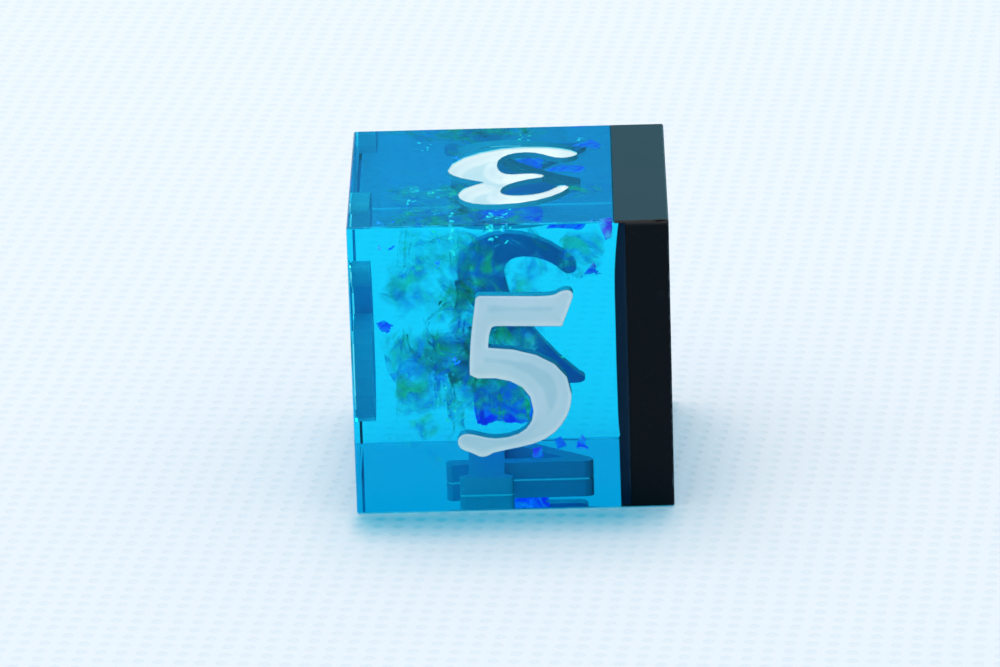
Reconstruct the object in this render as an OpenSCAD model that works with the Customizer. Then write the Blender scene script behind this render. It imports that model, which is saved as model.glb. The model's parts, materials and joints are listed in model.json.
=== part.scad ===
// Six-sided die cast in two pours of resin: a clear blue block with crumpled
// film inside, closed by an opaque black cap layer. The numerals are engraved
// by the mould and filled with paint.
// X runs from the blue end to the black end, -Y is the face of the 5,
// Z is up, and the origin is the middle of the resting face.

/* [Block] */
// Height and depth of the die, across the faces of 3 and 4 and of 2 and 5
side = 16; // [12:0.5:24]
// Length that the last pour adds along X
pour_extra = 0.8; // [0:0.1:2]
// Width of the tiny flat on each outer edge
edge_break = 0.08; // [0.02:0.01:0.3]

/* [Cap layer] */
// Thickness of the black layer where it meets the mould's walls
cap_t = 2.25; // [1.6:0.05:3.5]
// How much thicker the black layer is away from the walls
cap_bulge = 0.6; // [0.1:0.05:1]
// Distance over which the seam climbs to the front and back walls
meniscus_w = 2; // [0.5:0.1:4]
// Distance over which it climbs, more gently, to the top wall
climb_top = 7; // [0.5:0.1:7]
// The same to the wall at the foot
climb_foot = 4.9; // [0.5:0.1:4.9]
// How far a thin black skin crept from the seam's rim along the top and foot walls
skin_w = 0.55; // [0.1:0.05:0.8]
// Thickness of that skin
skin_t = 0.1; // [0.05:0.01:0.3]

/* [Numerals] */
// Height of the 5, which the other numerals are in proportion to
numeral_h = 9.2; // [7:0.1:11.5]
// Depth of the engraved pockets
pocket_depth = 1; // [0.5:0.05:1.4]
// How far the paint lies below the face
paint_recess = 0.1; // [0.02:0.01:0.3]
// How far the numerals stand off the middle of the length, towards the cap
numeral_shift = 0.2; // [0:0.05:0.4]
// How far the 5 stands below the middle of its face
five_drop = 0.35; // [0:0.05:0.5]

/* [Film] */
// Thickness of the crumpled film
film_t = 0.05; // [0.03:0.01:0.1]
// Clear resin kept between the film's zone and pockets or cap
film_gap = 0.3; // [0.1:0.05:0.6]

/* [Hidden] */

length = side + pour_extra;
cap_rim_x = length / 2 - cap_t;
cap_flat_x = cap_rim_x - cap_bulge;

// The numerals' outlines are drawn about their own middle, for a 5 that is this high
drawn_h = 92;
curve_steps = 5;
meniscus_steps = 8;
// Solids that cut a surface run past it by this much
past = 1;

// Film places and sizes are percentages of the clear core between the pockets
core_inset = pocket_depth + film_gap;
core_low = [core_inset - length / 2, core_inset - side / 2, core_inset];
core_high = [cap_flat_x - film_gap, side / 2 - core_inset, side - core_inset];
core_size = core_high - core_low;
percent = min(core_size) / 100;
film_steps = 5;

// Four-point curve from a to d, without its first point
function bend(a, b, c, d) = [
    for (i = [1:curve_steps])
        let (t = i / curve_steps, s = 1 - t)
        s * s * s * a + 3 * s * s * t * b + 3 * s * t * t * c + t * t * t * d
];

// A closed outline from its start and its legs, the last of which comes back to the start:
// [end] is a straight leg and [first pull, second pull, end] is a curved one
function outline(start, legs, i = 0) =
    i == len(legs) ? [] :
    let (leg = legs[i], end = leg[len(leg) - 1])
    concat(len(leg) == 1 ? [end] : bend(start, leg[0], leg[1], end), outline(end, legs, i + 1));

one = outline([9, 46], [
    [[9, -36]],
    [[9, -40], [14, -40], [18, -41]],
    [[21, -42], [21, -46], [17, -46]],
    [[-18, -46]],
    [[-22, -46], [-22, -42], [-19, -41]],
    [[-14, -40], [-10, -40], [-10, -36]],
    [[-10, 24]],
    [[-10, 27], [-12, 28], [-15, 26]],
    [[-22, 21]],
    [[-26, 19], [-29, 23], [-26, 26]],
    [[-16, 33], [-8, 39], [-3, 45]],
    [[-1, 47], [6, 47], [9, 46]]
]);

two = outline([-30, 18], [
    [[-33, 18], [-34, 21], [-32, 24]],
    [[-24, 33], [-10, 41], [4, 41]],
    [[18, 41], [31, 32], [31, 20]],
    [[31, 6], [16, -10], [-2, -26]],
    [[-3, -27], [-2, -28], [0, -28]],
    [[16, -28]],
    [[22, -28], [26, -27], [28, -24]],
    [[30, -21], [35, -22], [34, -27]],
    [[31, -42]],
    [[30, -45], [28, -45], [24, -45]],
    [[-31, -45]],
    [[-37, -45], [-38, -42], [-33, -40]],
    [[-16, -26], [6, 2], [6, 18]],
    [[6, 24], [3, 28], [-5, 28]],
    [[-14, 28], [-21, 24], [-26, 19]],
    [[-27, 18], [-29, 17], [-30, 18]]
]);

three = outline([-26, 19], [
    [[-29, 18], [-31, 20], [-30, 24]],
    [[-26, 35], [-12, 48], [6, 48]],
    [[20, 49], [28, 42], [28, 31]],
    [[28, 22], [22, 15], [15, 11]],
    [[26, 5], [34, -1], [34, -10]],
    [[34, -28], [14, -46], [-6, -46]],
    [[-20, -46], [-31, -42], [-35, -34]],
    [[-36, -30], [-31, -26], [-27, -26]],
    [[-20, -26], [-17, -37], [-7, -37]],
    [[2, -37], [8, -29], [8, -18]],
    [[8, -10], [6, -2], [0, -2]],
    [[-6, -2], [-12, -4], [-16, 0]],
    [[-18, 3], [-17, 5], [-15, 6]],
    [[-4, 9], [6, 17], [6, 26]],
    [[6, 32], [-1, 34], [-7, 33]],
    [[-16, 32], [-21, 26], [-23, 22]],
    [[-26, 19]]
]);

four = outline([5, 46], [
    [[-37, -3]],
    [[-41, -8], [-40, -13], [-35, -13]],
    [[8, -13]],
    [[8, -36]],
    [[8, -40], [4, -40], [3, -43]],
    [[3, -46], [4, -46], [6, -46]],
    [[29, -46]],
    [[32, -46], [32, -43], [31, -42]],
    [[29, -40], [27, -40], [27, -36]],
    [[27, -14]],
    [[36, -17]],
    [[40, -17], [40, -3], [36, -4]],
    [[27, -4]],
    [[27, 40]],
    [[27, 48], [10, 48], [5, 46]]
]);

four_counter = outline([8, -4], [
    [[-25, -4]],
    [[8, 35]],
    [[8, -4]]
]);

five = outline([-18, 44], [
    [[-20, 43], [-20, 42], [-20, 40]],
    [[-22, 28], [-24, 12], [-24, 0]],
    [[-20, -2]],
    [[-4, -1], [9, -6], [9, -21]],
    [[9, -31], [0, -36], [-11, -36]],
    [[-17, -36], [-22, -33], [-27, -33]],
    [[-31, -33], [-33, -38], [-30, -41]],
    [[-28, -43], [-25, -43], [-22, -45]],
    [[-19, -47], [-16, -46], [-13, -44]],
    [[-2, -41], [12, -41], [20, -33]],
    [[26, -27], [29, -20], [29, -12]],
    [[29, 6], [9, 14], [-14, 15]],
    [[-14, 20], [-13, 24], [-12, 26]],
    [[-11, 27], [-10, 27], [-8, 27]],
    [[25, 26]],
    [[31, 42]],
    [[32, 46], [28, 47], [24, 45]],
    [[22, 43], [18, 43], [12, 43]],
    [[-18, 44]]
]);

six = outline([22, 36], [
    [[23, 41], [19, 46], [13, 46]],
    [[-10, 46], [-32, 22], [-32, -10]],
    [[-32, -32], [-19, -46], [0, -46]],
    [[19, -46], [32, -34], [32, -15]],
    [[32, 3], [20, 14], [4, 14]],
    [[-3, 14], [-9, 11], [-13, 7]],
    [[-11, 22], [-4, 36], [8, 36]],
    [[14, 36], [19, 30], [22, 36]]
]);

six_counter = outline([-1, 3], [
    [[10, 3], [13, -6], [13, -17]],
    [[13, -29], [8, -37], [1, -37]],
    [[-9, -37], [-13, -26], [-13, -14]],
    [[-13, -5], [-9, 3], [-1, 3]]
]);

// Corners of a rectangle about the origin with its corners cut off
function cut_rectangle(w, h, e) = [
    [w / 2 - e, h / 2], [e - w / 2, h / 2], [-w / 2, h / 2 - e], [-w / 2, e - h / 2],
    [e - w / 2, -h / 2], [w / 2 - e, -h / 2], [w / 2, e - h / 2], [w / 2, h / 2 - e]
];

// Half of the seam seen from above: from the wall, where the blue resin climbed, to the flat middle
function seam_climb(sign) = [
    for (i = [0:meniscus_steps])
        let (a = 90 * i / meniscus_steps)
        [cap_rim_x - cap_bulge * sin(a), sign * (side / 2 - meniscus_w * (1 - cos(a)))]
];

// Half of the seam seen from the front: a gentler climb, over the given distance
function seam_slope(sign, reach) = [
    for (i = [0:meniscus_steps])
        let (share = i / meniscus_steps)
        [cap_rim_x - cap_bulge * (1 - cos(180 * share)) / 2, sign * (side / 2 - reach * share)]
];

function reversed(points) = [for (i = [len(points) - 1:-1:0]) points[i]];

// The wavy section of a ribbon, with one long side shifted off the other by the film's thickness
function ribbon_section(span, bow, ripple, waves) =
    let (
        steps = film_steps + 3 * waves,
        line = [
            for (i = [0:steps])
                let (t = i / steps)
                [span * (t - 0.5), bow * 4 * t * (1 - t) + ripple * sin(360 * waves * t)]
        ]
    )
    concat(line, [for (p = reversed(line)) p + [0, film_t]]);

// The outer form of the whole die, both pours together
module die_block() {
    translate([0, 0, side / 2])
    intersection() {
        linear_extrude(height = side, center = true)
            polygon(cut_rectangle(length, side, edge_break));
        rotate([90, 0, 0])
            linear_extrude(height = side, center = true)
                polygon(cut_rectangle(length, side, edge_break));
        rotate([0, 90, 0])
            linear_extrude(height = length, center = true)
                polygon(cut_rectangle(side, side, edge_break));
    }
}

// Section of the black layer's zone, from the two halves of the seam to beyond the die's end
module cap_section(low_half, high_half) {
    polygon(concat(
        [[cap_rim_x, -side / 2 - past]], low_half, reversed(high_half),
        [[cap_rim_x, side / 2 + past], [length / 2 + past, side / 2 + past],
         [length / 2 + past, -side / 2 - past]]
    ));
}

module cap_zone() {
    translate([0, 0, side / 2]) {
        intersection() {
            linear_extrude(height = side + 2 * past, center = true)
                cap_section(seam_climb(-1), seam_climb(1));
            rotate([90, 0, 0])
                linear_extrude(height = side + 2 * past, center = true)
                    cap_section(seam_slope(-1, climb_foot), seam_slope(1, climb_top));
        }
        for (z = [-side / 2 - past, side / 2 - skin_t])
            translate([cap_rim_x - skin_w, -side / 2 - past, z])
                cube([skin_w + cap_t + past, side + 2 * past, skin_t + past]);
    }
}

module numeral(value) {
    scale(numeral_h / drawn_h)
    difference() {
        polygon(value == 1 ? one : value == 2 ? two : value == 3 ? three
            : value == 4 ? four : value == 5 ? five : six);
        if (value == 4) polygon(four_counter);
        if (value == 6) polygon(six_counter);
    }
}

// Puts a flat drawing on the face of a numeral, with its own Z pointing out of the die
module on_face(value) {
    middle = side / 2;
    if (value == 1) translate([length / 2, 0, middle]) rotate([90, 0, 90]) children();
    if (value == 2) translate([numeral_shift, middle, middle]) rotate([90, 0, 180]) children();
    if (value == 3) translate([numeral_shift, 0, side]) rotate([0, 0, 180]) children();
    if (value == 4) translate([numeral_shift, 0, 0]) rotate([0, 180, 0]) children();
    if (value == 5) translate([numeral_shift, -middle, middle - five_drop]) rotate([90, 0, 0]) children();
    if (value == 6) translate([-length / 2, 0, middle]) rotate([90, 0, -90]) children();
}

module pocket(value) {
    on_face(value)
        translate([0, 0, -pocket_depth])
            linear_extrude(height = pocket_depth + past)
                numeral(value);
}

// The paint fills its pocket from the floor up and stops short of the face
module paint(value) {
    on_face(value)
        translate([0, 0, -pocket_depth])
            linear_extrude(height = pocket_depth - paint_recess)
                numeral(value);
}

module pockets() {
    for (value = [1:6])
        pocket(value);
}

// Puts a piece of film at its place in the core, in percent, and turns it
module in_core(place, turn) {
    spot = [for (i = [0:2]) core_low[i] + core_size[i] * place[i] / 100];
    translate(spot)
        rotate(turn)
            children();
}

// A strip that waves along its own X and Y and is as wide as the given part of the core along Z
module ribbon(place, turn, span, width, bow, ripple, waves) {
    in_core(place, turn)
        linear_extrude(height = width * percent, center = true)
            polygon(ribbon_section(span * percent, bow * percent, ripple * percent, waves));
}

// A flat scrap with the given corners, in percent of the core
module flake(place, turn, corners) {
    in_core(place, turn)
        linear_extrude(height = film_t, center = true)
            polygon(corners * percent);
}

// Small scraps of one shape, each turned further than the last
module chips(places, span) {
    for (i = [0:len(places) - 1])
        flake(places[i], [90 + 25 * i, 20 * i, 50 * i],
            [[-span / 2, -span / 3], [span / 2, -span / 4], [span / 5, span / 2]]);
}

module film_main_sheet() {
    color("teal")
        ribbon([28, 62, 46], [0, 0, 24], 42, 58, 5, 3, 3);
}

module film_upper_sheet() {
    color("turquoise")
        ribbon([26, 45, 86], [0, 8, -18], 38, 20, 4, 2, 2);
}

module film_left_swirl() {
    color("mediumaquamarine")
        ribbon([24, 42, 36], [0, 0, 24], 34, 40, 5, 2, 2);
}

module film_front_swirl() {
    color("teal")
        ribbon([54, 38, 26], [0, 0, -12], 26, 26, 3, 2, 2);
}

module film_top_swirl() {
    color("turquoise")
        ribbon([40, 23, 93], [90, 0, 0], 50, 14, 3, 1, 3);
}

module film_deep_panel() {
    color("steelblue")
        ribbon([56, 80, 15], [0, 0, -8], 32, 24, 3, 2, 1);
}

module film_side_veil() {
    color("paleturquoise")
        ribbon([88, 48, 82], [12, 0, 16], 22, 26, 2, 1, 1);
}

module film_back_curl() {
    color("springgreen")
        ribbon([61, 92, 80], [70, 15, 0], 30, 16, 5, 1.5, 2);
}

module film_glint_ribbon() {
    color("aquamarine")
        ribbon([13, 17, 50], [50, 36, 0], 16, 5, 2, 0.5, 1);
}

module film_low_ribbon() {
    color("mediumturquoise")
        ribbon([17, 17, 9], [25, 31, 0], 30, 7, 2, 1, 2);
}

module film_green_streak() {
    color("seagreen")
        ribbon([33, 32, 22], [0, -14, 50], 9, 21, 1, 1, 1);
}

module film_green_leaf() {
    color("green")
        flake([60, 19, 75], [70, 0, -10], [[-8, -4], [0, -4], [8, 1], [6, 4], [-1, 3]]);
}

module film_corner_flake() {
    color("blue")
        flake([99, -4, 105], [84, 0, 14], [[-3, 3], [3, 3], [2, -3], [-1, -4]]);
}

module film_cap_flake() {
    color("blue")
        flake([93, 10, 86], [75, 0, 20], [[-6, -3], [5, -3], [1, 3]]);
}

module film_back_flake() {
    color("blue")
        flake([93, 98, 96], [60, 0, -20], [[-8, -5], [5, -6], [8, 2], [0, 6]]);
}

module film_arm_flake() {
    color("blue")
        flake([83, 71, 92], [30, 0, -10], [[-9, -4], [7, -5], [9, 2], [-4, 5]]);
}

module film_fish_flake() {
    color("darkcyan")
        flake([20, 13, 78], [66, -12, 0], [[-5, 0], [0, -2], [4, 0], [6, 3], [1, 3]]);
}

module film_violet_flake() {
    color("slateblue")
        flake([4, 19, 61], [80, 0, 25], [[-4, 3], [0, 4], [4, 1], [2, -4], [-2, -2]]);
}

module film_teal_flake() {
    color("mediumspringgreen")
        flake([29, 13, 16], [72, 20, 0], [[-4, -3], [3, -4], [4, 2], [0, 4]]);
}

module film_low_flake_left() {
    color("blue")
        flake([67, 16, 8], [80, 0, 6], [[-3, -3], [3, -2], [3, 3], [-2, 2]]);
}

module film_low_flake_middle() {
    color("blue")
        flake([77, 16, 12], [76, 8, 15], [[-1, -4], [3, -1], [1, 4], [-3, 1]]);
}

module film_low_flake_right() {
    color("blue")
        flake([86, 17, 11], [82, -6, -14], [[-4, -2], [4, -3], [0, 4]]);
}

module film_upper_chips() {
    color("deepskyblue")
        chips([[3, 12, 97], [9, 12, 98], [26, 30, 70], [77, 62, 92], [12, 60, 90], [46, 8, 96]], 4);
}

module film_middle_chips() {
    color("mediumaquamarine")
        chips([[44, 12, 50], [10, 40, 62], [90, 60, 60], [20, 10, 36], [76, 14, 58], [52, 40, 64]], 5);
}

module film_lower_chips() {
    color("cyan")
        chips([[6, 8, 24], [40, 10, 6], [12, 50, 6], [80, 70, 24], [60, 40, 4], [24, 84, 14]], 4);
}

module all_film() {
    film_main_sheet();
    film_upper_sheet();
    film_left_swirl();
    film_front_swirl();
    film_top_swirl();
    film_deep_panel();
    film_side_veil();
    film_back_curl();
    film_glint_ribbon();
    film_low_ribbon();
    film_green_streak();
    film_green_leaf();
    film_corner_flake();
    film_cap_flake();
    film_back_flake();
    film_arm_flake();
    film_fish_flake();
    film_violet_flake();
    film_teal_flake();
    film_low_flake_left();
    film_low_flake_middle();
    film_low_flake_right();
    film_upper_chips();
    film_middle_chips();
    film_lower_chips();
}

// The first pour: clear blue, set round the film and against the numerals of the mould
module resin_body() {
    color("deepskyblue", 0.5)
    difference() {
        die_block();
        cap_zone();
        pockets();
        all_film();
    }
}

// The last pour: opaque black, set on the blue resin's own meniscus
module black_cap_layer() {
    color("black")
    difference() {
        intersection() {
            die_block();
            cap_zone();
        }
        pockets();
    }
}

module numeral_fill_1() { color("white") paint(1); }
module numeral_fill_2() { color("white") paint(2); }
module numeral_fill_3() { color("white") paint(3); }
module numeral_fill_4() { color("white") paint(4); }
module numeral_fill_5() { color("white") paint(5); }
module numeral_fill_6() { color("white") paint(6); }

resin_body();
black_cap_layer();
numeral_fill_1();
numeral_fill_2();
numeral_fill_3();
numeral_fill_4();
numeral_fill_5();
numeral_fill_6();
film_main_sheet();
film_upper_sheet();
film_left_swirl();
film_front_swirl();
film_top_swirl();
film_deep_panel();
film_side_veil();
film_back_curl();
film_glint_ribbon();
film_low_ribbon();
film_green_streak();
film_green_leaf();
film_corner_flake();
film_cap_flake();
film_back_flake();
film_arm_flake();
film_fish_flake();
film_violet_flake();
film_teal_flake();
film_low_flake_left();
film_low_flake_middle();
film_low_flake_right();
film_upper_chips();
film_middle_chips();
film_lower_chips();
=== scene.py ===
import json
import math

import bmesh
import bpy
from mathutils import Matrix, Vector, noise


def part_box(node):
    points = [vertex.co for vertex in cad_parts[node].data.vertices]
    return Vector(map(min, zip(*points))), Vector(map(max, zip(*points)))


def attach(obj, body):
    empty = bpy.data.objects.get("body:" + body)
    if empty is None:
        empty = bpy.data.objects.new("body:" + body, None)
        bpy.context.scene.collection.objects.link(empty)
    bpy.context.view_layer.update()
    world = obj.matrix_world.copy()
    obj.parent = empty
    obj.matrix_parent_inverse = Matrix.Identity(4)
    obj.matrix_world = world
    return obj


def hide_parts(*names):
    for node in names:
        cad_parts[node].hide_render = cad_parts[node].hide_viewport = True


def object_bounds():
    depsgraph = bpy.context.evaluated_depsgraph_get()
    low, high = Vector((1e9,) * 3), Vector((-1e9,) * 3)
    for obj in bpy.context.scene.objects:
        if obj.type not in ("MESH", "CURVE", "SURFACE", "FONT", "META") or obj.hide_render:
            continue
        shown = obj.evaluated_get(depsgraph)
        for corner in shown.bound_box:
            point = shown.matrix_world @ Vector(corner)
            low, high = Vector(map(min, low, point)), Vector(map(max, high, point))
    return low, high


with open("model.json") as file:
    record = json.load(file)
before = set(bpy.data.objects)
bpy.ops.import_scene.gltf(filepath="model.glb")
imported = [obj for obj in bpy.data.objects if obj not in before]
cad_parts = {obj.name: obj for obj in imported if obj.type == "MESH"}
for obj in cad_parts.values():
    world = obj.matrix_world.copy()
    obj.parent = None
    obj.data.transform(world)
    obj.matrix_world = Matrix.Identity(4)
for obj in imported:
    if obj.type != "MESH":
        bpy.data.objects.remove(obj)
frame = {"nodes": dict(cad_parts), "record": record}
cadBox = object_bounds()
mm = 0.001
tiny = 1e-7  # closer points than this are one point

resinLow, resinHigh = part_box("resin_body")
capLow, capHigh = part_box("black_cap_layer")
dieLow, dieHigh = cadBox
dieMiddle = (dieLow + dieHigh) / 2


# --- shader helpers -------------------------------------------------------------------------

class Sock:  # a socket that adds Math nodes when it is used in an expression
    def __init__(self, shader, out):
        self.shader = shader
        self.out = out

    def calc(self, operation, first, second=0.0, clamp=False):
        settings = {"operation": operation, "use_clamp": clamp}
        return self.shader.node("ShaderNodeMath", settings, {0: first, 1: second})

    def __add__(self, other):
        return self.calc("ADD", self, other)

    def __radd__(self, other):
        return self.calc("ADD", other, self)

    def __sub__(self, other):
        return self.calc("SUBTRACT", self, other)

    def __rsub__(self, other):
        return self.calc("SUBTRACT", other, self)

    def __mul__(self, other):
        return self.calc("MULTIPLY", self, other)

    def __rmul__(self, other):
        return self.calc("MULTIPLY", other, self)

    def __truediv__(self, other):
        return self.calc("DIVIDE", self, other)

    def lower(self, other):
        return self.calc("MINIMUM", self, other)

    def higher(self, other):
        return self.calc("MAXIMUM", self, other)

    def size(self):
        return self.calc("ABSOLUTE", self)

    def power(self, other):
        return self.calc("POWER", self, other)

    def held(self):  # kept from 0 to 1
        return self.calc("ADD", self, 0.0, clamp=True)


class Shader:
    def __init__(self, tree):
        self.tree = tree
        tree.nodes.clear()

    def node(self, kind, settings=None, inputs=None, out=0):
        made = self.tree.nodes.new(kind)
        for key, value in (settings or {}).items():
            if key == "stops":
                self.fillRamp(made.color_ramp, value)
            else:
                setattr(made, key, value)
        for key, value in (inputs or {}).items():
            if isinstance(value, Sock):
                self.tree.links.new(value.out, made.inputs[key])
            else:
                made.inputs[key].default_value = value
        return Sock(self, made.outputs[out]) if made.outputs else None

    def fillRamp(self, ramp, stops):
        while len(ramp.elements) < len(stops):
            ramp.elements.new(0.5)
        for element, (place, colour) in zip(ramp.elements, stops):
            element.position = place
            element.color = (*colour, 1.0)

    def place(self, scale=1.0, shift=(0, 0, 0), turn=(0, 0, 0)):
        coords = self.node("ShaderNodeTexCoord", out="Object")
        return self.node("ShaderNodeMapping", None,
                         {"Vector": coords, "Location": shift, "Rotation": turn,
                          "Scale": (scale, scale, scale)})

    def noise(self, place, scale, detail=3.0, distortion=0.0, rough=0.5):
        return self.node("ShaderNodeTexNoise", None,
                         {"Vector": place, "Scale": scale, "Detail": detail,
                          "Roughness": rough, "Distortion": distortion})

    def cells(self, place, scale, feature="F1", out="Distance"):
        return self.node("ShaderNodeTexVoronoi", {"feature": feature},
                         {"Vector": place, "Scale": scale}, out)

    def axis(self, vector, name):
        return self.node("ShaderNodeSeparateXYZ", None, {"Vector": vector}, name)

    def fade(self, value, low, high):  # 0 at low and below, 1 at high and above, smooth between
        settings = {"interpolation_type": "SMOOTHSTEP"}
        return self.node("ShaderNodeMapRange", settings,
                         {"Value": value, "From Min": low, "From Max": high})

    def ramp(self, factor, stops):
        return self.node("ShaderNodeValToRGB", {"stops": stops}, {"Fac": factor})

    def mixColour(self, factor, first, second, blend="MIX"):
        settings = {"data_type": "RGBA", "blend_type": blend}
        return self.node("ShaderNodeMix", settings, {0: factor, 6: first, 7: second}, 2)

    def bump(self, height, strength, distance):
        return self.node("ShaderNodeBump", None,
                         {"Height": height, "Strength": strength, "Distance": distance})

    def surface(self, shader, volume=None):
        links = {"Surface": shader}
        if volume:
            links["Volume"] = volume
        self.node("ShaderNodeOutputMaterial", None, links)


def newMaterial(name):
    material = bpy.data.materials.new(name)
    material.use_nodes = True
    return material, Shader(material.node_tree)


def edgeDistance(shader):  # how far a point on the die's skin is from the nearest outer edge, in metres
    coords = shader.place()
    gaps = []
    for i, name in enumerate("XYZ"):
        half = (dieHigh[i] - dieLow[i]) / 2
        gaps.append(half - (shader.axis(coords, name) - dieMiddle[i]).size())
    low = gaps[0].lower(gaps[1])
    high = gaps[0].higher(gaps[1])
    return low.higher(high.lower(gaps[2]))


# --- materials ------------------------------------------------------------------------------

resinLook = {
    "tint": (0.6, 0.985, 1.0),
    "ior": 1.5,
    "reflectTint": (0.1, 0.4, 0.9),
    "roughness": 0.01,
    "edgeRoughness": 0.16,
    "absorbColour": (0.01, 0.918, 0.995),
    "absorbDensity": 300.0,
    "wave": 0.04,
}


def clearResin():
    material, s = newMaterial("clearBlueResin")
    place = s.place()
    edge = edgeDistance(s)
    ripple = s.noise(place, 260.0, 2.0)
    scuffs = s.fade(s.noise(place, 900.0, 4.0, 1.5), 0.62, 0.8)
    worn = 1.0 - s.fade(edge + (ripple - 0.5) * (0.10 * mm), 0.03 * mm, 0.14 * mm)
    haze = resinLook["roughness"] + worn * resinLook["edgeRoughness"] + scuffs * 0.02
    tint = s.mixColour(worn * 0.5, (*resinLook["tint"], 1), (0.5, 0.9, 0.96, 1))
    relief = s.bump(ripple + scuffs * 0.02, resinLook["wave"], 0.05 * mm)
    body = s.node("ShaderNodeBsdfPrincipled", None, {
        "Base Color": tint, "Roughness": haze, "IOR": resinLook["ior"],
        "Transmission Weight": 1.0, "Specular Tint": (*resinLook["reflectTint"], 1),
        "Normal": relief})
    depth = s.node("ShaderNodeVolumeAbsorption", None, {
        "Color": (*resinLook["absorbColour"], 1), "Density": resinLook["absorbDensity"]})
    s.surface(body, depth)
    return material


capLook = {
    "black": (0.0015, 0.0045, 0.0075),
    "seam": (0.0012, 0.0035, 0.006),
    "dust": (0.16, 0.24, 0.3),
    "roughness": 0.07,
    "specular": 0.05,
    "lighterTop": (0.036, 0.027, 0.026),   # a lighter warm grey on the top face only
    "topGloss": 0.27,
}


def skinDepth(s):  # how far a point is inside the die's outer faces, in metres
    coords = s.place()
    depth = None
    for i, name in enumerate("XYZ"):
        half = (dieHigh[i] - dieLow[i]) / 2
        gap = half - (s.axis(coords, name) - dieMiddle[i]).size()
        depth = depth.lower(gap) if depth else gap
    return depth


def blackResin():
    material, s = newMaterial("blackResin")
    place = s.place()
    edge = edgeDistance(s)
    grain = s.noise(place, 2600.0, 3.0)
    cloud = s.noise(place, 240.0, 3.0, 0.6)
    scuffs = s.fade(s.noise(place, 1100.0, 4.0, 2.0), 0.6, 0.75)
    worn = 1.0 - s.fade(edge - (grain - 0.35) * (0.16 * mm), 0.0, 0.05 * mm)
    colour = s.mixColour(worn * 0.4, (*capLook["black"], 1), (*capLook["dust"], 1))
    colour = s.mixColour(scuffs * 0.015, colour, (0.2, 0.24, 0.28, 1))
    polished = s.fade(s.axis(place, "Z"), dieHigh.z - 0.3 * mm, dieHigh.z - 0.05 * mm)
    # the top face is coloured a lighter warm grey than the sides, varied by cloud noise
    colour = s.mixColour(polished * (0.8 + cloud * 0.3), colour, (*capLook["lighterTop"], 1))
    haze = capLook["roughness"] + worn * 0.4 + cloud * 0.05 + scuffs * 0.05
    relief = s.bump(grain * worn + cloud * 0.1, 0.35, 0.03 * mm)
    outside = s.node("ShaderNodeBsdfPrincipled", None, {
        "Base Color": colour, "Roughness": haze, "Specular IOR Level": capLook["specular"],
        "Coat Weight": 0.04 + polished * capLook["topGloss"], "Coat Roughness": 0.06, "Normal": relief})
    inside = s.node("ShaderNodeBsdfPrincipled", None, {
        "Base Color": (*capLook["seam"], 1), "Roughness": 0.9, "Specular IOR Level": 0.0})
    seam = s.fade(skinDepth(s), 0.03 * mm, 0.05 * mm)
    s.surface(s.node("ShaderNodeMixShader", None, {0: seam, 1: outside, 2: inside}))
    return material


paintLook = {
    "white": (0.90, 0.95, 0.96),
    "pearl": (0.88, 0.91, 0.95),
    "paintedShading": (0.54, 0.73, 0.8),   # painted shade in the middle of each stroke, where the paint's surface dips furthest from the wall
    "shade": (0.6, 0.78, 0.84),
    "back": (0.03, 0.66, 0.95),   # painted blue light and shade on the faces against the resin: the colour the white paint shows when seen through the blue resin
    "speck": (0.12, 0.14, 0.15),
    "roughness": 0.34,
}


def numeralPaint():
    material, s = newMaterial("numeralPaint")
    place = s.place()
    cloud = s.noise(place, 420.0, 3.0, 0.8)
    pearl = s.noise(place, 170.0, 2.0, 0.4)
    brush = s.noise(s.place(1.0, turn=(0.4, 0.2, 0.9)), 3000.0, 3.0)
    specks = 1.0 - s.fade(s.cells(place, 420.0), 0.055, 0.09)
    rare = s.fade(s.noise(place, 210.0, 1.0), 0.6, 0.66)
    colour = s.mixColour(s.fade(pearl, 0.42, 0.68), (*paintLook["white"], 1), (*paintLook["pearl"], 1))
    colour = s.mixColour(s.fade(cloud, 0.45, 0.8) * 0.3, colour, (*paintLook["shade"], 1))
    colour = s.mixColour(specks * rare * 0.8, colour, (*paintLook["speck"], 1))
    buried = s.node("ShaderNodeAttribute", {"attribute_name": "buried"}, out="Fac")
    sunk = s.node("ShaderNodeAttribute", {"attribute_name": "sunk"}, out="Fac")
    # painted shade: each stroke is coloured darker and bluer towards its middle, away from the wall
    paintedShading = s.fade(sunk, 0.05, 0.3) * 0.5 + s.fade(sunk + (cloud - 0.5) * 0.4, 0.65, 0.95) * 0.5
    colour = s.mixColour(paintedShading, colour, (*paintLook["paintedShading"], 1), "MIX")
    # painted light and shade: faces buried against the resin get the blue tone the paint shows through the
    # resin
    colour = s.mixColour(buried, colour, (*paintLook["back"], 1))
    relief = s.bump(brush * 0.4 + cloud, 0.12, 0.04 * mm)
    body = s.node("ShaderNodeBsdfPrincipled", None, {
        "Base Color": colour, "Roughness": paintLook["roughness"] + cloud * 0.12,
        "Coat Weight": (1.0 - buried) * 0.2, "Coat Roughness": 0.12, "Normal": relief})
    s.surface(body)
    return material
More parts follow.
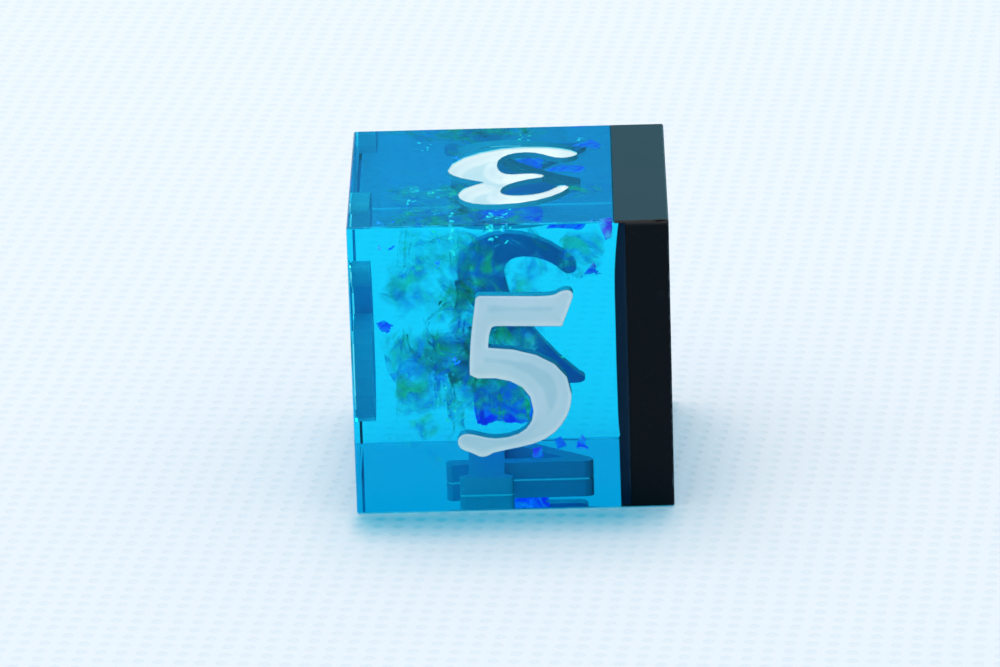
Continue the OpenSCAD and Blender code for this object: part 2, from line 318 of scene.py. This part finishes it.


# Colours that the film turns through as its folds tilt, as a painted iridescent sheen, and how solid it looks
filmLooks = {
    "film_blue": {
        "stops": [(0.0, (0.0, 0.05, 1.0)), (0.3, (0.0, 0.12, 1.0)), (0.5, (0.0, 0.3, 1.0)),
                  (0.65, (0.02, 0.06, 1.0)), (0.8, (0.0, 0.4, 1.0)), (1.0, (0.12, 0.05, 1.0))],
        "solid": (0.75, 1.0), "metal": 0.3, "paintedGlow": 0.35, "softEdge": 0.1},
    "film_green": {
        "stops": [(0.0, (0.0, 0.45, 0.75)), (0.3, (0.0, 0.6, 0.55)), (0.45, (0.05, 0.8, 0.15)),
                  (0.6, (0.0, 0.6, 0.6)), (0.75, (0.0, 0.3, 0.95)), (1.0, (0.1, 0.85, 0.3))],
        "solid": (0.12, 0.55), "metal": 0.1, "paintedGlow": 0.18, "softEdge": 0.9},
    "film_aqua": {
        "stops": [(0.0, (0.0, 0.5, 0.85)), (0.3, (0.0, 0.7, 0.75)), (0.45, (0.1, 0.9, 0.6)),
                  (0.6, (0.0, 0.55, 0.8)), (0.8, (0.0, 0.3, 1.0)), (1.0, (0.05, 0.8, 0.4))],
        "solid": (0.1, 0.45), "metal": 0.1, "paintedGlow": 0.2, "softEdge": 0.9},
}


def crumpledFilm(slot):
    look = filmLooks[slot]
    material, s = newMaterial(slot + "Finish")
    place = s.place()
    normal = s.node("ShaderNodeNewGeometry", out="Normal")
    # painted iridescent sheen: the hue shifts with how far each facet tilts toward one fixed direction
    tilt = s.node("ShaderNodeVectorMath", {"operation": "DOT_PRODUCT"},
                  {0: normal, 1: (0.35, -0.55, 0.75)}, "Value")
    drift = s.noise(place, 420.0, 2.0, 0.8)
    fine = s.noise(place, 1700.0, 3.0, 0.5)
    strands = s.noise(s.place(1.0, turn=(0.5, 0.3, 0.2)), 750.0, 2.0, 1.5, 0.5)
    hue = (tilt.size() * 0.4 + (drift - 0.5) * 2.4 + 0.4).held()
    colour = s.ramp(hue, look["stops"])
    pale = s.fade(strands, 0.58, 0.7)
    colour = s.mixColour(pale * 0.3, colour, (0.2, 0.9, 1.0, 1))
    low, high = look["solid"]
    wisp = s.fade(drift * 0.5 + strands * 0.5, 0.42, 0.6)
    inland = s.node("ShaderNodeAttribute", {"attribute_name": "inland"}, out="Fac")
    sparkle = s.node("ShaderNodeAttribute", {"attribute_name": "sparkle"}, out="Fac")
    shore = s.fade(inland + (strands - 0.5) * 0.8, 0.05, look["softEdge"])
    # painted glow: the film shines in its own colour though it is no lamp, most on the glint flecks and pale
    # streaks
    paintedGlow = (look["paintedGlow"] + sparkle * 0.9 + pale * 0.1).held()
    body = s.node("ShaderNodeBsdfPrincipled", None, {
        "Base Color": colour, "Metallic": look["metal"], "Roughness": 0.35 + fine * 0.2,
        "Alpha": ((low + wisp * (high - low)) * shore).higher(sparkle),
        "Emission Color": s.mixColour(paintedGlow, (0, 0, 0, 1), colour), "Emission Strength": 1.0,
        "Normal": s.bump(fine, 0.3, 0.03 * mm)})
    s.surface(body)
    return material


stageLook = {
    "floorSize": 1.6,
    "gap": 0.05 * mm,
    "paintedShading": (0.0, 0.26, 0.3),        # blue light that has come through the die
    "poolReach": 5.0 * mm,
    "clothGlow": (0.0, 0.23, 0.38),   # light that the thin cloth passes on from beside the die
    "zenith": (0.98, 0.93, 0.86),
    "horizon": (0.06, 0.50, 0.72),
    "keyPower": 1.26,
    "keySize": 0.3,
}


def clothFloor():
    material, s = newMaterial("paleCloth")
    place = s.place(1.0, turn=(0, 0, 0.12))
    step = 2 * math.pi / (2.1 * mm)
    x = s.axis(place, "X") * step
    y = s.axis(place, "Y") * step
    bend = s.noise(place, 150.0, 2.0) * 1.5
    weave = (x + y + bend).calc("SINE", x + y + bend) * (x - y + bend).calc("SINE", x - y + bend)
    fluff = s.noise(place, 2500.0, 4.0)
    cloud = s.noise(place, 60.0, 2.0)
    dimple = s.fade(weave, 0.1, 0.9)
    colour = s.mixColour(cloud, (0.85, 0.63, 0.55, 1), (0.87, 0.65, 0.57, 1))
    # painted shade in the dimples of the weave
    colour = s.mixColour(dimple * 0.12, colour, (0.4, 0.4, 0.4, 1))
    square = s.place()
    gapX = (s.axis(square, "X").size() - dieHigh.x + 0.8 * mm).higher(0.0) * 3.0
    gapY = (s.axis(square, "Y").size() - dieHigh.y).higher(0.0)
    near = (gapX * gapX + gapY * gapY).power(0.5) + (cloud - 0.5) * (1.5 * mm)
    # painted pool of blue light and cyan shadow on the floor round the die, strongest in front and less beside
    # the cap
    paintedShading = (1.0 - s.fade(near, 0.1 * mm, stageLook["poolReach"])) * (0.85 + dimple * 0.15)
    front = 1.0 - s.fade(s.axis(square, "Y"), dieLow.y - 1 * mm, dieLow.y + 1 * mm)
    clear = 1.0 - s.fade(s.axis(square, "X"), capLow.x - 1 * mm, capHigh.x) * 0.6  # less comes through the cap
    colour = s.mixColour(paintedShading * clear * (0.12 + front * 0.8), colour, (*stageLook["paintedShading"], 1))
    relief = s.bump(fluff * 0.4 - dimple, 0.5, 0.1 * mm)
    body = s.node("ShaderNodeBsdfPrincipled", None, {
        "Base Color": colour, "Roughness": 0.9, "Specular IOR Level": 0.1, "Normal": relief,
        "Emission Color": (*stageLook["clothGlow"], 1), "Emission Strength": 1.0})
    s.surface(body)
    return material


materials = {
    "clear_blue_resin": clearResin(),
    "black_resin": blackResin(),
    "numeral_paint": numeralPaint(),
    "film_blue": crumpledFilm("film_blue"),
    "film_green": crumpledFilm("film_green"),
    "film_aqua": crumpledFilm("film_aqua"),
}
print("materials made:", len(materials))


# --- mesh helpers ---------------------------------------------------------------------------

slotOf = {row["node"]: row["material_slot"] for row in frame["record"]["subparts"]}


def cadCopy(node):  # a merged bmesh of a CAD node
    bm = bmesh.new()
    bm.from_mesh(frame["nodes"][node].data)
    bmesh.ops.remove_doubles(bm, verts=bm.verts, dist=tiny)
    return bm


def joinFlats(bm):
    bmesh.ops.dissolve_limit(bm, angle_limit=math.radians(0.5), verts=bm.verts, edges=bm.edges)


def shells(bm):  # lists of faces that hang together, largest first
    left = set(bm.faces)
    found = []
    while left:
        group = [left.pop()]
        for face in group:
            for edge in face.edges:
                for other in edge.link_faces:
                    if other in left:
                        left.remove(other)
                        group.append(other)
        found.append(group)
    return sorted(found, key=lambda group: -sum(face.calc_area() for face in group))


def finishPiece(bm, name, nodes, smoothAngle=30.0, slot=None):
    bm.normal_update()
    limit = math.radians(smoothAngle)
    for face in bm.faces:
        face.smooth = True
    for edge in bm.edges:  # large flat faces keep their true normals right up to their edges
        turn = edge.calc_face_angle(0)
        wide = max((face.calc_area() for face in edge.link_faces), default=0) > 0.5 * mm * mm
        edge.smooth = turn < (math.radians(0.3) if wide else limit)
    mesh = bpy.data.meshes.new(name)
    bm.to_mesh(mesh)
    bm.free()
    slot = slot or slotOf[nodes[0]]
    mesh.materials.append(materials[slot])
    piece = bpy.data.objects.new(name, mesh)
    bpy.context.scene.collection.objects.link(piece)
    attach(piece, "root")
    if nodes:
        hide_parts(*nodes)
    return piece


def thinPiece(bm, name, nodes, slot=None, sparkle=0.0):
    marks = bm.verts.layers.float
    # per-vertex amount of painted glint glow for this piece
    paintedGlintLayer = marks.new("sparkle")
    inland = marks.get("inland")
    whole = inland is None
    inland = inland or marks.new("inland")
    for vert in bm.verts:
        vert[paintedGlintLayer] = sparkle
        if whole:
            vert[inland] = 1.0
    piece = finishPiece(bm, name, nodes, 35.0, slot)
    wall = piece.modifiers.new("filmThickness", "SOLIDIFY")
    wall.thickness = filmShape["thickness"]
    wall.offset = 0.0
    return piece


# --- clear resin block ----------------------------------------------------------------------

blockShape = {"edgeRound": 0.03 * mm, "edgeSteps": 2}


def outerEdges(bm):  # edges of the tiny flats on the die's outer edges
    near = 0.1 * mm
    kept = []
    for edge in bm.edges:
        if not edge.is_manifold or edge.calc_face_angle(0) < math.radians(20):
            continue
        middle = (edge.verts[0].co + edge.verts[1].co) / 2
        gaps = sorted(min(middle[i] - dieLow[i], dieHigh[i] - middle[i]) for i in range(3))
        if gaps[1] < near:
            kept.append(edge)
    return kept


# --- black cap layer ------------------------------------------------------------------------

capShape = {
    "sink": 0.02 * mm,
    "chipPitch": 0.09 * mm,   # distance between the corners of the chipped edges
    "chipDepth": 0.16 * mm,   # along the front edge of the top
    "wear": 0.03 * mm,        # along the other edges
}


def chipEdges(bm):  # breaks the long outer edges into small steps that stay in their big faces
    outer = outerEdges(bm)
    long = [e for e in outer if e.calc_length() > 3 * capShape["chipPitch"]]
    for edge in long:
        cuts = int(edge.calc_length() / capShape["chipPitch"])
        big = max(edge.link_faces, key=lambda f: f.calc_area())
        ends = set(edge.verts)
        axis = max(range(3), key=lambda i: abs(big.normal[i]))
        middle = (edge.verts[0].co + edge.verts[1].co) / 2
        inward = dieMiddle - middle
        inward[axis] = 0.0
        along = max(range(3), key=lambda i: abs((edge.verts[0].co - edge.verts[1].co)[i]))
        inward[along] = 0.0
        inward.normalize()
        front = middle.y < dieLow.y + 0.2 * mm and middle.z > dieHigh.z - 0.2 * mm
        made = bmesh.ops.subdivide_edges(bm, edges=[edge], cuts=cuts)
        depth = capShape["chipDepth"] if front else capShape["wear"]
        for vert in made["geom_inner"]:
            if isinstance(vert, bmesh.types.BMVert) and vert not in ends:
                bite = noise.noise(vert.co * 2300.0) + 0.5 * noise.noise(vert.co * 7000.0)
                vert.co += inward * depth * max(0.0, bite)


def makeResinBody():
    bm = cadCopy("resin_body")
    for group in shells(bm)[1:]:  # the spaces round the film: the film lies in solid resin instead
        bmesh.ops.delete(bm, geom=group, context="FACES")
    joinFlats(bm)
    bmesh.ops.bevel(bm, geom=outerEdges(bm), offset=blockShape["edgeRound"],
                    segments=blockShape["edgeSteps"], affect="EDGES", profile=0.5,
                    material=-1, clamp_overlap=True)
    return finishPiece(bm, "resinBlock", ["resin_body"])


def makeCap():
    bm = cadCopy("black_cap_layer")
    joinFlats(bm)
    chipEdges(bm)
    wall = 0.01 * mm
    bm.normal_update()
    for vert in bm.verts:  # the seam bites a hair into the blue resin, so that no gap shows
        if vert.co.x > dieHigh.x - 1.5 * mm:
            continue
        inside = all(dieLow[i] + wall < vert.co[i] < dieHigh[i] - wall for i in range(1, 3))
        vert.co += capShape["sink"] * (vert.normal if inside else Vector((-1, 0, 0)))
    return finishPiece(bm, "blackCap", ["black_cap_layer"], 20.0)


# --- numeral paint --------------------------------------------------------------------------

paintShape = {
    "grow": 0.015 * mm,      # how far the paint bites into the resin
    "cell": 0.16 * mm,       # size of the grid that the surface is dished on
    "rim": 0.05 * mm,        # how far the paint climbs above its mean level at the wall
    "dish": 0.32 * mm,       # how far it sinks in the middle of a stroke
    "reach": 0.9 * mm,      # distance from the wall over which it sinks
}
outward = {
    1: Vector((1, 0, 0)), 2: Vector((0, 1, 0)), 3: Vector((0, 0, 1)),
    4: Vector((0, 0, -1)), 5: Vector((0, -1, 0)), 6: Vector((-1, 0, 0)),
}


def fromLine(point, line):  # distance to the nearest piece of an outline
    best = 1.0
    for a, b in line:
        along = b - a
        share = min(1.0, max(0.0, (point - a).dot(along) / along.length_squared))
        best = min(best, (point - a - along * share).length_squared)
    return math.sqrt(best)


def makePaint(value):
    node = f"numeral_fill_{value}"
    out = outward[value]
    bm = cadCopy(node)
    joinFlats(bm)
    top = max(vert.co.dot(out) for vert in bm.verts)
    face = max((f for f in bm.faces if f.normal.dot(out) > 0.9), key=lambda f: f.calc_area())
    outline = [(e.verts[0].co.copy(), e.verts[1].co.copy()) for f in bm.faces
               for e in f.edges if f.normal.dot(out) > 0.9]
    low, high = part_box(node)
    for i in range(3):
        if abs(out[i]) > 0.5:
            continue
        side = Vector((0, 0, 0))
        side[i] = 1.0
        steps = int((high[i] - low[i]) / paintShape["cell"])
        for k in range(1, steps):
            spot = low + side * ((high[i] - low[i]) * k / steps)
            flat = [f for f in bm.faces if f.normal.dot(out) > 0.9]
            geom = flat + list({e for f in flat for e in f.edges})
            geom += list({v for f in flat for v in f.verts})
            bmesh.ops.bisect_plane(bm, geom=geom, dist=tiny, plane_co=spot, plane_no=side)
    buried = bm.faces.layers.float.new("buried")
    sunk = bm.verts.layers.float.new("sunk")
    bm.normal_update()
    walls = {}
    for vert in bm.verts:
        pull = Vector((0, 0, 0))
        for f in vert.link_faces:
            if abs(f.normal.dot(out)) < 0.5 and all((f.normal - n).length > 0.02 for n in walls.get(vert, [])):
                walls.setdefault(vert, []).append(f.normal.copy())
                pull += f.normal
        walls[vert] = [pull.normalized()] if pull.length > 0 else []
    for face in bm.faces:
        face[buried] = 0.0 if face.normal.dot(out) > 0.9 else 1.0
    for vert in bm.verts:
        gap = fromLine(vert.co, outline) if abs(vert.co.dot(out) - top) < tiny else None
        for pull in walls[vert]:
            vert.co += pull * paintShape["grow"]
        if gap is None:
            vert.co -= out * paintShape["grow"]
            continue
        share = min(1.0, gap / paintShape["reach"])
        vert[sunk] = share
        sink = paintShape["dish"] * (1 - (1 - share) ** 2) - paintShape["rim"] * (1 - share) ** 6
        wobble = noise.noise(vert.co * 900.0) * 0.02 * mm * share
        vert.co -= out * (sink + wobble)
    return finishPiece(bm, f"numeralPaint{value}", [node], 50.0)


# --- film -----------------------------------------------------------------------------------

filmShape = {
    "grid": 0.15 * mm,
    "thickness": 0.02 * mm,
    "folds": 4,                # families of straight creases on each piece
    "creaseWidth": 1.7 * mm,   # distance between the creases of one family
    "creaseHeight": 0.22 * mm,
    "curl": 0.5 * mm,          # slow waves of the whole sheet
    "tear": 0.2 * mm,
    "shore": 10,               # mesh steps over which a sheet fades out at its edge
}


def crumple(bm, seed, size):
    noise.seed_set(seed)
    folds = []
    for k in range(filmShape["folds"]):
        direction = noise.random_unit_vector()
        pitch = filmShape["creaseWidth"] * (0.6 + 0.9 * abs(noise.random_unit_vector().x))
        folds.append((direction, pitch, 0.3 + abs(noise.random_unit_vector().y)))
    bm.normal_update()
    shift = Vector((seed * 1.7, seed * 0.9, seed * 2.3))
    moved = []
    for vert in bm.verts:
        height = 0.0
        for direction, pitch, weight in folds:
            warp = noise.noise(vert.co * 300.0 + shift) * 0.7
            phase = (vert.co.dot(direction) / pitch + warp) % 1.0
            height += weight * (abs(phase - 0.5) * 2 - 0.5)
        height *= filmShape["creaseHeight"]
        curl = noise.noise(vert.co * 220.0 + shift) * filmShape["curl"]
        tear = noise.noise_vector(vert.co * 700.0 + shift) * filmShape["tear"]
        moved.append(vert.normal * (height + curl) * size + tear * size)
    for vert, step in zip(bm.verts, moved):
        vert.co += step


def markShore(bm):  # how far each vertex is from the film's edge, as a share of a few steps
    inland = bm.verts.layers.float.new("inland")
    for vert in bm.verts:
        vert[inland] = 1.0
    ring = {v for e in bm.edges if e.is_boundary for v in e.verts}
    seen = set(ring)
    for step in range(filmShape["shore"]):
        for vert in ring:
            vert[inland] = step / filmShape["shore"]
        ring = {e.other_vert(v) for v in ring for e in v.link_edges} - seen
        seen |= ring


def makeFilm(node, seed):
    bm = cadCopy(node)
    kept = set()
    for group in shells(bm):
        part = broadSideOf(group)
        kept.update(part)
    bmesh.ops.delete(bm, geom=[f for f in bm.faces if f not in kept], context="FACES")
    low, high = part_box(node)
    reach = (high - low).length
    grid = filmShape["grid"]
    for k in range(7):
        long = [e for e in bm.edges if e.calc_length() > grid]
        if not long:
            break
        bmesh.ops.subdivide_edges(bm, edges=long, cuts=1)
        bmesh.ops.triangulate(bm, faces=bm.faces)
    size = min(1.0, 0.25 + reach / (6 * mm))
    markShore(bm)
    crumple(bm, seed, size)
    return thinPiece(bm, node.replace("film_", "film-").replace("_", "-"), [node])


def broadSideOf(group):
    left = set(group)
    best, bestArea = [], 0.0
    while left:
        part = [left.pop()]
        for face in part:
            for edge in face.edges:
                if edge.calc_face_angle(9) > math.radians(60):
                    continue
                for other in edge.link_faces:
                    if other in left:
                        left.remove(other)
                        part.append(other)
        area = sum(face.calc_area() for face in part)
        if area > bestArea * 1.001:
            best, bestArea = part, area
    return best


veilShape = {
    "low": Vector((-7.3, -6.6, 2.8)) * mm,
    "high": Vector((2.4, 5.5, 14.8)) * mm,
    "columns": 5,
    "rows": 6,
    "half": (0.9 * mm, 1.8 * mm),
    "cells": 24,
    "lean": 0.6,               # how far a veil leans away from facing the front
}


def makeVeils(slot, turn, seed):  # thin soft-edged scraps of film that cloud the blue resin, in a loose grid
    bm = bmesh.new()
    noise.seed_set(seed)
    low, high = veilShape["low"], veilShape["high"]
    for k in range(veilShape["columns"] * veilShape["rows"]):
        if k % 3 not in turn:
            continue
        column, row = k % veilShape["columns"], k // veilShape["columns"]
        half = veilShape["half"][0] + (veilShape["half"][1] - veilShape["half"][0]) * noise.random()
        share = Vector(((column + noise.random()) / veilShape["columns"], noise.random(),
                        (row + noise.random()) / veilShape["rows"]))
        spot = Vector([low[i] + half + (high[i] - low[i] - 2 * half) * share[i] for i in range(3)])
        lean = noise.random_vector() * veilShape["lean"]
        turned = (Vector((0, -1, 0)) + lean).to_track_quat("Z", "Y").to_matrix().to_4x4()
        spin = Matrix.Rotation(6.3 * noise.random(), 4, "Z")
        stretch = Matrix.Diagonal((1.0, 0.45 + 0.4 * noise.random(), 1.0, 1.0))
        bmesh.ops.create_grid(bm, x_segments=veilShape["cells"], y_segments=veilShape["cells"], size=half,
                              matrix=Matrix.Translation(spot) @ turned @ spin @ stretch)
    markShore(bm)
    crumple(bm, seed, 0.55)
    for vert in bm.verts:  # none leaves the space between the numerals
        vert.co = Vector([min(high[i], max(low[i], vert.co[i])) for i in range(3)])
    return thinPiece(bm, f"veils-{slot}", [], slot)


wispShape = {
    "middle": Vector((-3.2, -2.0, 8.6)) * mm,   # the wisps curl round a line along Y through here
    "radius": (0.8 * mm, 5.4 * mm),
    "width": (0.2 * mm, 1.0 * mm),
    "length": (1.5 * mm, 5.5 * mm),
    "step": 0.14 * mm,
    "low": Vector((-7.2, -6.7, 1.3)) * mm,
    "high": Vector((1.5, 3.5, 14.7)) * mm,
}


def makeWisps(slot, count, seed):  # strips of film curled in the blue resin
    bm = bmesh.new()
    noise.seed_set(seed)
    pick = lambda pair: pair[0] + (pair[1] - pair[0]) * noise.random()
    for k in range(count):
        radius = pick(wispShape["radius"])
        angle = 2 * math.pi * noise.random()
        depth = pick((-4.5 * mm, 4.5 * mm))
        drift = pick((-0.3, 0.3))
        widest = pick(wispShape["width"])
        steps = int(pick(wispShape["length"]) / wispShape["step"])
        spin = 6.3 * noise.random()
        row = []
        for i in range(steps + 1):
            turn = angle + i * wispShape["step"] / radius
            round = Vector((math.cos(turn), 0, math.sin(turn)))
            spot = wispShape["middle"] + round * radius + Vector((0, depth + drift * i * wispShape["step"], 0))
            spot += noise.noise_vector(spot * 260.0) * 0.7 * mm
            lean = spin + 2.5 * noise.noise(spot * 330.0)
            across = round * math.cos(lean) + Vector((0, math.sin(lean), 0))
            half = across * (widest / 2) * math.sin(math.pi * (i + 0.3) / (steps + 0.6)) ** 0.7
            ends = (spot - half, spot + half)
            free = all(wispShape["low"][n] < end[n] < wispShape["high"][n] for end in ends for n in range(3))
            if not free:
                row = []
                continue
            pair = [bm.verts.new(end + noise.noise_vector(end * 1500.0) * 0.05 * mm) for end in ends]
            if row:
                bm.faces.new((row[0], row[1], pair[1], pair[0]))
            row = pair
    loose = [v for v in bm.verts if not v.link_faces]
    bmesh.ops.delete(bm, geom=loose, context="VERTS")
    return thinPiece(bm, f"wisps-{slot}", [], slot)


# Where small scraps of film lie that glow as painted glints: middle, how many, how far apart, and which film
glintFlecks = [
    ((-6.7, -6.0, 14.4), 2, 0.1, "film_blue"), ((-6.1, -6.0, 14.4), 2, 0.1, "film_blue"),
    ((-3.75, -6.0, 13.4), 3, 0.15, "film_blue"), ((-3.0, -5.5, 8.0), 4, 0.35, "film_blue"),
    ((-0.5, -5.2, 14.8), 9, 0.7, "film_aqua"), ((-3.0, -5.4, 14.8), 5, 0.35, "film_aqua"),
    ((-3.6, -1.2, 14.2), 7, 0.6, "film_aqua"), ((-5.2, -1.0, 14.2), 4, 0.35, "film_aqua"),
    ((1.8, -5.8, 9.2), 3, 0.15, "film_aqua"), ((-2.9, -5.6, 13.9), 3, 0.2, "film_aqua"),
    ((-3.3, -5.0, 6.0), 5, 0.6, "film_green"), ((-2.8, -5.0, 4.6), 7, 0.7, "film_green"),
    ((3.0, -4.8, 7.8), 5, 0.4, "film_green"), ((0.9, -5.6, 7.6), 3, 0.3, "film_blue"),
    ((-2.6, 5.0, 13.6), 3, 0.3, "film_blue"), ((-0.2, 5.6, 14.2), 3, 0.3, "film_blue"),
    ((-0.9, -6.3, 15.4), 5, 0.2, "film_aqua"), ((-0.2, -6.3, 15.4), 5, 0.2, "film_aqua"),
    ((-3.0, -7.2, 15.3), 5, 0.2, "film_green"), ((-5.0, -3.4, 15.2), 7, 0.3, "film_aqua"),
    ((-3.6, -5.2, 15.2), 6, 0.35, "film_green"), ((0.9, 6.9, 15.0), 8, 0.4, "film_green"),
    ((3.9, 6.4, 15.0), 3, 0.2, "film_green"), ((-4.6, 6.0, 15.0), 5, 0.5, "film_aqua"),
]


def makeGlintFlecks(slot):
    bm = bmesh.new()
    noise.seed_set(40 + len(slot))
    for middle, count, spread, kind in glintFlecks:
        for k in range(count if kind == slot else 0):
            spot = (Vector(middle) + noise.random_vector() * spread) * mm
            size = (0.07 + 0.13 * noise.random()) * mm
            first = noise.random_unit_vector()
            second = first.cross(noise.random_unit_vector()).normalized()
            corners = [spot + first * size, spot + second * size * 0.8, spot - first * size * 0.7,
                       spot - second * size * 0.6 + first * size * 0.3]
            bm.faces.new([bm.verts.new(corner) for corner in corners])
    # these flecks glow as painted glints
    return thinPiece(bm, f"glitter-{slot}", [], slot, 0.6)


makeResinBody()
makeCap()
for value in outward:
    makePaint(value)
print("resin, cap and numerals made")
filmNodes = sorted(node for node in frame["nodes"] if node.startswith("film_"))
for seed, node in enumerate(filmNodes):
    makeFilm(node, seed + 3)
for seed, (slot, count) in enumerate((("film_aqua", 7), ("film_green", 5), ("film_blue", 0))):
    if count:
        makeWisps(slot, count, 60 + seed)
        makeVeils(slot, (0, 1) if seed else (2,), 80 + seed)
    makeGlintFlecks(slot)
print("film pieces made:", len(filmNodes), "and 5 of wisps and glitter")


# --- stage, light and camera ----------------------------------------------------------------

def makeFloor():
    bm = bmesh.new()
    bmesh.ops.create_grid(bm, x_segments=8, y_segments=8, size=stageLook["floorSize"] / 2)
    bmesh.ops.translate(bm, verts=bm.verts, vec=(0, 0, dieLow.z - stageLook["gap"]))
    mesh = bpy.data.meshes.new("floor")
    bm.to_mesh(mesh)
    bm.free()
    mesh.materials.append(clothFloor())
    floor = bpy.data.objects.new("floor", mesh)
    bpy.context.scene.collection.objects.link(floor)


def makeWorld():
    world = bpy.data.worlds.new("studio")
    world.use_nodes = True
    bpy.context.scene.world = world
    s = Shader(world.node_tree)
    coords = s.node("ShaderNodeTexCoord", out="Generated")
    up = s.axis(coords, "Z")
    rise = s.fade(up, 0.3, 0.85)
    colour = s.mixColour(rise, (*stageLook["horizon"], 1), (*stageLook["zenith"], 1))
    sky = s.node("ShaderNodeBackground", None, {"Color": colour, "Strength": 1.0})
    s.node("ShaderNodeOutputWorld", None, {"Surface": sky})


def makeLamp(name, place, power, size, colour):
    light = bpy.data.lights.new(name, "AREA")
    light.shape = "SQUARE"
    light.size = size
    light.energy = power
    light.color = colour
    lamp = bpy.data.objects.new(name, light)
    lamp.location = place
    lamp.rotation_mode = "QUATERNION"
    lamp.rotation_quaternion = (place - dieMiddle).to_track_quat("Z", "Y")
    bpy.context.scene.collection.objects.link(lamp)


view = {
    "yaw": 0.874, "elevation": 20.05, "roll": -1.752,  # degrees
    "distance": 363.41 * mm, "lens": 243.95,
    "target": Vector((-0.673 * mm, 0, 7.022 * mm)),
}


def makeCamera():
    yaw, elevation, roll = (math.radians(view[k]) for k in ("yaw", "elevation", "roll"))
    back = Vector((math.sin(yaw) * math.cos(elevation), -math.cos(yaw) * math.cos(elevation),
                   math.sin(elevation)))
    turned = back.to_track_quat("Z", "Y") @ Matrix.Rotation(roll, 3, "Z").to_quaternion()
    lens = bpy.data.cameras.new("camera")
    lens.lens = view["lens"]
    lens.clip_start = 0.01
    camera = bpy.data.objects.new("camera", lens)
    camera.rotation_mode = "QUATERNION"
    camera.rotation_quaternion = turned
    camera.location = view["target"] + back * view["distance"]
    bpy.context.scene.collection.objects.link(camera)
    bpy.context.scene.camera = camera


makeFloor()
makeWorld()
makeLamp("keyLamp", dieMiddle + Vector((-0.04, 0.17, 0.55)), stageLook["keyPower"],
         stageLook["keySize"], (1, 1, 1))
makeCamera()
bpy.context.scene.view_settings.view_transform = "Standard"
print("stage, light and camera made")
